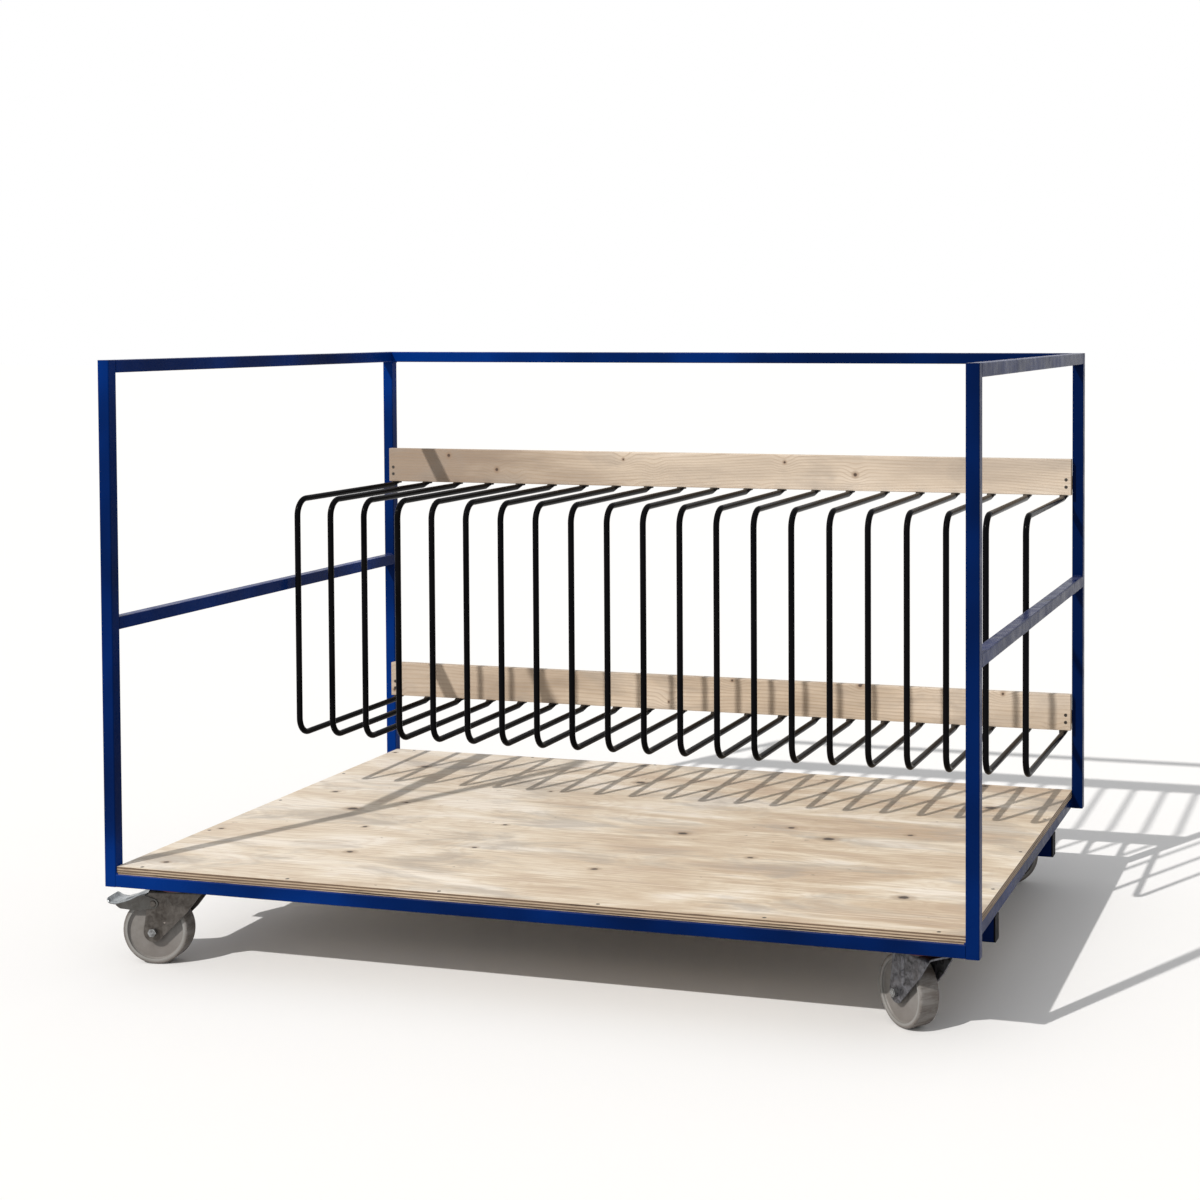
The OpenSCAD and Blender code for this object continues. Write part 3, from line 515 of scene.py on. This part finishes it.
def weld_all():
    """Beads wherever two tubes or plates of the frame meet in an inner corner."""
    end_gap, cross_gap, tube_corner, stitch = 3, 6, 3.5, 30
    bm = bmesh.new()
    up, down = (0, 0, 1), (0, 0, -1)
    post_low, post_high = box_mm("rear_right_post")
    tube, feet, top = post_high.x - post_low.x, post_low.z, post_high.z
    inner_x, inner_y = post_low.x, post_low.y
    post_x, post_y = inner_x + tube / 2, inner_y + tube / 2
    rail_in = box_mm("base_rail_right")[0].x
    plate_top = box_mm("corner_plates")[1].z
    guard_low, guard_high = [corner.z for corner in box_mm("guard_rails")]
    half = tube / 2 - tube_corner
    upright_low, upright_high = feet + end_gap, feet + tube - end_gap
    for sx in (-1, 1):
        inward = (-sx, 0, 0)
        x, rail_x = sx * inner_x, sx * rail_in
        for sy in (-1, 1):
            forward = (0, -sy, 0)
            y = sy * inner_y
            # Top rails and guard rails along the sides
            for z, normal in ((top - tube, down), (guard_low, down), (guard_high, up)):
                weld(bm, (sx * post_x - half, y, z), (sx * post_x + half, y, z), normal, forward)
            # Side base rails against the front and rear rails, and against the posts
            weld(bm, (rail_x, y, upright_low), (rail_x, y, upright_high), inward, forward)
            weld(bm, (x, y, upright_low), (x, y, upright_high), (sx, 0, 0), forward, leg=3.5)
            # Corner plates, stitched along both rails
            for k in (60, 120):
                far, near = sx * (rail_in - k), sx * (rail_in - k + stitch)
                weld(bm, (far, y, plate_top), (near, y, plate_top), up, forward, leg=4.5)
            for k in (45, 100):
                far, near = y - sy * k, y - sy * (k - stitch)
                weld(bm, (rail_x, far, plate_top), (rail_x, near, plate_top), up, inward, leg=4.5)
        # Front rail at the posts, on the strip in front of the deck
        strip_front, strip_back = -post_y - 12.5, -post_y - 10.3
        weld(bm, (x, strip_front, feet + tube), (x, strip_back, feet + tube), up, inward)
        # Rear rails between the posts
        rear = [(top - tube, down)]
        for low, high in solids("board_rails"):
            rear += [(low.z, down), (high.z, up)]
        for z, normal in rear:
            weld(bm, (x, post_y - half, z), (x, post_y + half, z), normal, inward)
        # Cross tubes under the side rails
        for low, high in solids("cross_tubes"):
            from_y, to_y = low.y + cross_gap, high.y - cross_gap
            weld(bm, (rail_x, from_y, feet), (rail_x, to_y, feet), up, inward, leg=5)
            from_x, to_x = sx * (rail_in + 1), sx * (inner_x - 5)
            for y, side in ((low.y + tube_corner, -1), (high.y - tube_corner, 1)):
                weld(bm, (from_x, y, feet), (to_x, y, feet), down, (0, side, 0), leg=4.5)
    bmesh.ops.recalc_face_normals(bm, faces=bm.faces)
    finish_piece("weld_beads", bm, "frame", "blue_frame", 60)


def fillet(points, radii, steps=5):
    """Line of points with its corners rounded, each over less than half of the lines beside it."""
    out = [points[0]]
    for before, corner, after, r in zip(points, points[1:], points[2:], radii):
        a, b = (before - corner).normalized(), (after - corner).normalized()
        room = 0.49 * min((before - corner).length, (after - corner).length)
        reach = min(r / math.tan(a.angle(b) / 2), room)
        p, q = corner + a * reach, corner + b * reach
        for k in range(steps + 1):
            t = k / steps
            out.append(p * (1 - t) ** 2 + corner * 2 * t * (1 - t) + q * t ** 2)
    out.append(points[-1])
    return out


def wheel_profile():
    """Half section of the wheel from its bore to the middle of its tread, as (radius, width) in mm."""
    corners = [(11.65, 0), (11.65, 29.5), (20, 29.5), (24, 20.5), (46, 18.5), (65.5, 18),
               (68, 20.5), (68.6, 25), (80, 25), (80, 0)]
    radii = (0.8, 1.6, 5, 14, 2.5, 1.6, 1.2, 9)
    return fillet([Vector(c) for c in corners], radii, 6)


def wheel(corner):
    """Turned wheel in its own frame, with the axle along Z."""
    joint = JOINTS[f"{corner}_wheel_turn"]
    centre, axis = Vector(joint["pos_m"]), Vector(joint["axis"]).normalized()
    half = wheel_profile()
    section = [(r, -w) for r, w in half] + [(r, w) for r, w in reversed(half[:-1])]
    segments = 96
    bm = bmesh.new()
    rows = []
    for k in range(segments):
        a = 2 * math.pi * k / segments
        x, y = math.cos(a), math.sin(a)
        rows.append([bm.verts.new((r * MM * x, r * MM * y, w * MM)) for r, w in section])
    count = len(section)
    for k in range(segments):
        a, b = rows[k], rows[(k + 1) % segments]
        for i in range(count):
            j = (i + 1) % count
            bm.faces.new((a[i], b[i], b[j], a[j]))
    bmesh.ops.remove_doubles(bm, verts=bm.verts, dist=1e-6)
    bmesh.ops.recalc_face_normals(bm, faces=bm.faces)
    place = Matrix.Translation(centre) @ axis.to_track_quat("Z", "Y").to_matrix().to_4x4()
    obj = finish_piece(f"{corner}_nylon_wheel", bm, f"{corner}_roller", "nylon", 50, place)
    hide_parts(f"{corner}_wheel")


def punched(bm, outline, hole, low, high):
    """Flat sheet with one hole, from (along, up) points in mm, between two places across."""
    sides = []
    for across in (low, high):
        rings = [[bm.verts.new((p.x * MM, across * MM, p.y * MM)) for p in points]
                 for points in (outline, hole)]
        edges = [bm.edges.new((ring[i - 1], ring[i])) for ring in rings for i in range(len(ring))]
        bmesh.ops.triangle_fill(bm, use_beauty=True, use_dissolve=False, edges=edges)
        sides.append(rings)
    for a, b in zip(*sides):
        for i in range(len(a)):
            bm.faces.new((a[i - 1], a[i], b[i], b[i - 1]))


def spaced(points, step):
    """The same line with a point at least every step."""
    out = [points[0]]
    for a, b in zip(points, points[1:]):
        count = max(1, math.ceil((b - a).length / step))
        out += [a.lerp(b, k / count) for k in range(1, count + 1)]
    return out


def arc(radius, start, end, step=12):
    """Points round the origin from start to end, in degrees."""
    return [Vector((radius * math.cos(math.radians(a)), radius * math.sin(math.radians(a))))
            for a in range(start, end + 1, step)]


def brake_pedal(corner):
    """Pressed pedal with a ribbed plate, two flanges and a lip at the toe.

    Its own X runs along it from the pivot, Y across and Z up. The sizes below are in mm.
    """
    joint = JOINTS[f"{corner}_brake_press"]
    pivot, across = Vector(joint["pos_m"]), Vector(joint["axis"]).normalized()
    up = Vector((0, 0, 1))
    place = Matrix((across.cross(up), across, up)).transposed().to_4x4()
    place.translation = pivot
    node = frame["nodes"][f"{corner}_pedal"]
    outer = max((v.co - pivot).dot(across) for v in node.data.vertices) / MM
    sheet, edge_round, edge_inset, toe_length, toe_radius = 2.5, 1.8, 0.5, 16, 12
    rib_half, rib_slope, rib_height, rib_start, rib_end, rib_rise = 13, 4, 2.2, 30, 84, 8
    flange_start, flange_end, ear_radius, hole_radius = 20, 92, 12, 5
    tread, tread_radius, shoe_half = Vector((15.1, -66.3)), 80.5, 17
    bm = bmesh.new()

    # Plate, along a line through the middle of its sheet
    line = [Vector(p) for p in ((19, 21), (33, 19), (62, 5.5), (91, -3), (108, -1), (117, 9))]
    line = spaced(fillet(line, (20, 60, 22, 14), 8), 2)
    lengths = [0.0]
    for a, b in zip(line, line[1:]):
        lengths.append(lengths[-1] + (b - a).length)
    rings, under = [], []
    for k, point in enumerate(line):
        tangent = (line[min(k + 1, len(line) - 1)] - line[max(k - 1, 0)]).normalized()
        normal = Vector((-tangent.y, tangent.x))
        inside_rib = min(1.0, (point.x - rib_start) / rib_rise, (rib_end - point.x) / rib_rise)
        rib = rib_height * max(0.0, inside_rib)
        tip = max(0.0, 1 - (lengths[-1] - lengths[k]) / toe_length)
        half = outer - toe_radius * (1 - math.sqrt(max(0.0, 1 - tip ** 2)))
        high, low = sheet / 2, -sheet / 2
        section = [(half, low), (half, high - edge_round), (half - edge_inset, high - edge_inset),
                   (half - edge_round, high), (rib_half + rib_slope, high), (rib_half, high + rib)]
        below = [(rib_half, low + rib), (rib_half + rib_slope, low)]
        ring = section + [(-y, d) for y, d in reversed(section)]
        ring += [(-y, d) for y, d in reversed(below)] + below
        rings.append([Vector((point.x + normal.x * d, y, point.y + normal.y * d)) * MM for y, d in ring])
        under.append(point + normal * low)
    skin(bm, rings)

    # Flanges, from the ear round the pivot to the plate's underside
    edge = [p for p in under if flange_start < p.x < flange_end]
    lower = [Vector(p) for p in ((3, -11.5), (27, -15), (58, -15.5), (82, -13), (92.5, -5))]
    outline = arc(ear_radius, 100, 280) + fillet(lower, (10, 20, 10)) + edge[::-1]
    for side in (-1, 1):
        punched(bm, outline, arc(hole_radius, 0, 345, 15), side * (outer - sheet), side * outer)

    # Shoe under the plate, hollowed to follow the tread when the pedal is down
    hollow = []
    for u in range(29, 45, 3):
        hollow.append(Vector((u, tread.y + math.sqrt(tread_radius ** 2 - (u - tread.x) ** 2))))
    shoe = hollow + [Vector((44, 12.9)), Vector((33, 18)), Vector((29, 18.5))]
    skin(bm, [[Vector((p.x, y, p.y)) * MM for p in shoe] for y in (-shoe_half, shoe_half)])
    bmesh.ops.recalc_face_normals(bm, faces=bm.faces)
    obj = finish_piece(f"{corner}_pressed_pedal", bm, f"{corner}_brake", "zinc_pedal", 35, place)
    eased = obj.modifiers.new("eased", "BEVEL")
    eased.width = 0.0004
    eased.segments = 2
    eased.limit_method = "ANGLE"
    eased.angle_limit = math.radians(40)
    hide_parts(f"{corner}_pedal")


def cross_outline(arm, width):
    """Corners of a cross, anticlockwise."""
    w, points = width / 2, []
    for k in range(4):
        turn = Matrix.Rotation(math.pi / 2 * k, 2)
        points += [turn @ Vector(p) for p in ((w, w), (arm, w), (arm, -w))][::-1]
    return points


def screw_head(bm, place, radius, profile, arm=2.4, width=0.95, depth=2.2):
    """Screw head with a cross recess. The profile runs down from the face's edge as (radius, z), in mm."""
    segments, recess_taper = 20, 0.45
    angles = [2 * math.pi * k / segments for k in range(segments)]
    outer = [Vector((radius * math.cos(a), radius * math.sin(a), 0)) for a in angles]
    inner = [Vector((p.x, p.y, 0)) for p in cross_outline(arm, width)]
    low = [Vector((p.x * recess_taper, p.y * recess_taper, -depth)) for p in inner]
    made = {}
    for key, ring in (("outer", outer), ("inner", inner), ("low", low)):
        made[key] = [bm.verts.new(place @ (p * MM)) for p in ring]
    edges = []
    for key in ("outer", "inner"):
        ring = made[key]
        edges += [bm.edges.new((ring[i], ring[(i + 1) % len(ring)])) for i in range(len(ring))]
    bmesh.ops.triangle_fill(bm, use_beauty=True, use_dissolve=False, edges=edges)
    count = len(inner)
    for i in range(count):
        j = (i + 1) % count
        bm.faces.new((made["inner"][i], made["inner"][j], made["low"][j], made["low"][i]))
    bm.faces.new(made["low"])
    previous = made["outer"]
    for r, z in profile:
        ring = [bm.verts.new(place @ (Vector((p.x * r / radius, p.y * r / radius, z)) * MM)) for p in outer]
        for i in range(segments):
            j = (i + 1) % segments
            bm.faces.new((previous[i], ring[i], ring[j], previous[j]))
        previous = ring
    bm.faces.new(previous)


def screws():
    """Cross-recessed heads and shanks in place of the CAD's screws.

    The boards' screws lie along Y, the deck's face up, and the hoops' face down.
    """
    edge_gap, turn, pan_radius = 0.1, 0.7, 3.2
    sunk = [(4.45, -0.25), (2.5, -2.2), (2.5, -14)]
    pan = [(4.1, -0.5), (4.5, -1.3), (4.5, -2.9), (2.2, -3.0), (2.2, -12)]
    bm = bmesh.new()
    deck_top = box_mm("deck_panel")[1].z
    facing_front = Matrix.Rotation(math.pi / 2, 4, "X")
    facing_down = Matrix.Rotation(math.pi, 4, "X")
    for k, (low, high) in enumerate(solids("wood_screws")):
        middle, size = (low + high) / 2, high - low
        turned = Matrix.Rotation(turn * k, 4, "Z")
        if size.y > size.x * 1.5:
            spot = Vector((middle.x, low.y, middle.z))
            place = Matrix.Translation(spot * MM) @ facing_front @ turned
            screw_head(bm, place, size.x / 2 - edge_gap, sunk)
        elif abs(high.z - deck_top) < 1:
            spot = Vector((middle.x, middle.y, high.z))
            place = Matrix.Translation(spot * MM) @ turned
            screw_head(bm, place, size.x / 2 - edge_gap, sunk)
        else:
            spot = Vector((middle.x, middle.y, low.z))
            place = Matrix.Translation(spot * MM) @ facing_down @ turned
            screw_head(bm, place, pan_radius, pan, arm=2.1, width=0.85, depth=1.8)
    bmesh.ops.recalc_face_normals(bm, faces=bm.faces)
    obj = finish_piece("cross_recess_screws", bm, "frame", "dark_screws", 35)
    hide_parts("wood_screws")


weld_all()
for corner in CORNERS:
    wheel(corner)
    if f"{corner}_brake_press" in JOINTS:
        brake_pedal(corner)
screws()


# Camera, light and stage

# The photograph's width, the focal length and the optical centre are in its pixels
PHOTO = 1200
FOCAL, CENTRE_X, CENTRE_Y = 2032.8, 836.0, 395.6
CAMERA_PLACE = (1.9042, -4.7956, 1.2740)
YAW, PITCH, ROLL = 0.2762, 0.0355, -0.0021
SUNLIGHT_RUNS = (0.336, 0.688, -0.643)
WORLD_SEEN, WORLD_LIGHT = 1.0, 0.5
FLOOR_SEEN, FLOOR_GREY = 0.98, 0.55
FLOOR_REACH = 60

camera_data = bpy.data.cameras.new("camera")
camera_data.sensor_width = 36
camera_data.lens = FOCAL * camera_data.sensor_width / PHOTO
camera_data.shift_x = (PHOTO / 2 - CENTRE_X) / PHOTO
camera_data.shift_y = (CENTRE_Y - PHOTO / 2) / PHOTO
camera_data.clip_end = 200
camera = bpy.data.objects.new("camera", camera_data)
bpy.context.scene.collection.objects.link(camera)
camera.matrix_world = (Matrix.Translation(CAMERA_PLACE) @ Matrix.Rotation(YAW, 4, "Z")
                       @ Matrix.Rotation(math.pi / 2 - PITCH, 4, "X") @ Matrix.Rotation(ROLL, 4, "Z"))
bpy.context.scene.camera = camera

key_data = bpy.data.lights.new("key", "SUN")
key_data.energy = 2.7
key_data.angle = math.radians(0.9)
key_data.color = (1.0, 0.97, 0.93)
key = bpy.data.objects.new("key", key_data)
bpy.context.scene.collection.objects.link(key)
key.rotation_euler = Vector(SUNLIGHT_RUNS).to_track_quat("-Z", "Y").to_euler()


def shown_or_lit(tree, shown, lit):
    """One level that the camera, gloss and glass see, and another that lights the object."""
    path = tree.nodes.new("ShaderNodeLightPath")
    total = path.outputs["Is Camera Ray"]
    for name in ("Is Glossy Ray", "Is Transmission Ray"):
        both = tree.nodes.new("ShaderNodeMath")
        both.operation = "MAXIMUM"
        tree.links.new(total, both.inputs[0])
        tree.links.new(path.outputs[name], both.inputs[1])
        total = both.outputs[0]
    choice = tree.nodes.new("ShaderNodeMapRange")
    tree.links.new(total, choice.inputs[0])
    choice.inputs["To Min"].default_value = lit
    choice.inputs["To Max"].default_value = shown
    return choice.outputs[0]


world = bpy.data.worlds.new("studio")
bpy.context.scene.world = world
world.use_nodes = True
background = world.node_tree.nodes["Background"]
background.inputs["Color"].default_value = (1, 1, 1, 1)
strength = shown_or_lit(world.node_tree, WORLD_SEEN, WORLD_LIGHT)
world.node_tree.links.new(strength, background.inputs["Strength"])

floor_shader = bpy.data.materials.new("floor")
floor_shader.use_nodes = True
tree = floor_shader.node_tree
matt = tree.nodes["Principled BSDF"]
matt.inputs["Roughness"].default_value = 1.0
matt.inputs["Specular IOR Level"].default_value = 0.0
grey = tree.nodes.new("ShaderNodeCombineColor")
level = shown_or_lit(tree, FLOOR_SEEN, FLOOR_GREY)
for socket in grey.inputs[:3]:
    tree.links.new(level, socket)
tree.links.new(grey.outputs[0], matt.inputs["Base Color"])
floor_mesh = bpy.data.meshes.new("floor")
floor_corners = [(sx * FLOOR_REACH, sy * FLOOR_REACH, cad_box[0].z)
                 for sx, sy in ((-1, -1), (1, -1), (1, 1), (-1, 1))]
floor_mesh.from_pydata(floor_corners, [], [(0, 1, 2, 3)])
floor_mesh.materials.append(floor_shader)
floor = bpy.data.objects.new("floor", floor_mesh)
bpy.context.scene.collection.objects.link(floor)

bpy.context.scene.view_settings.view_transform = "Standard"
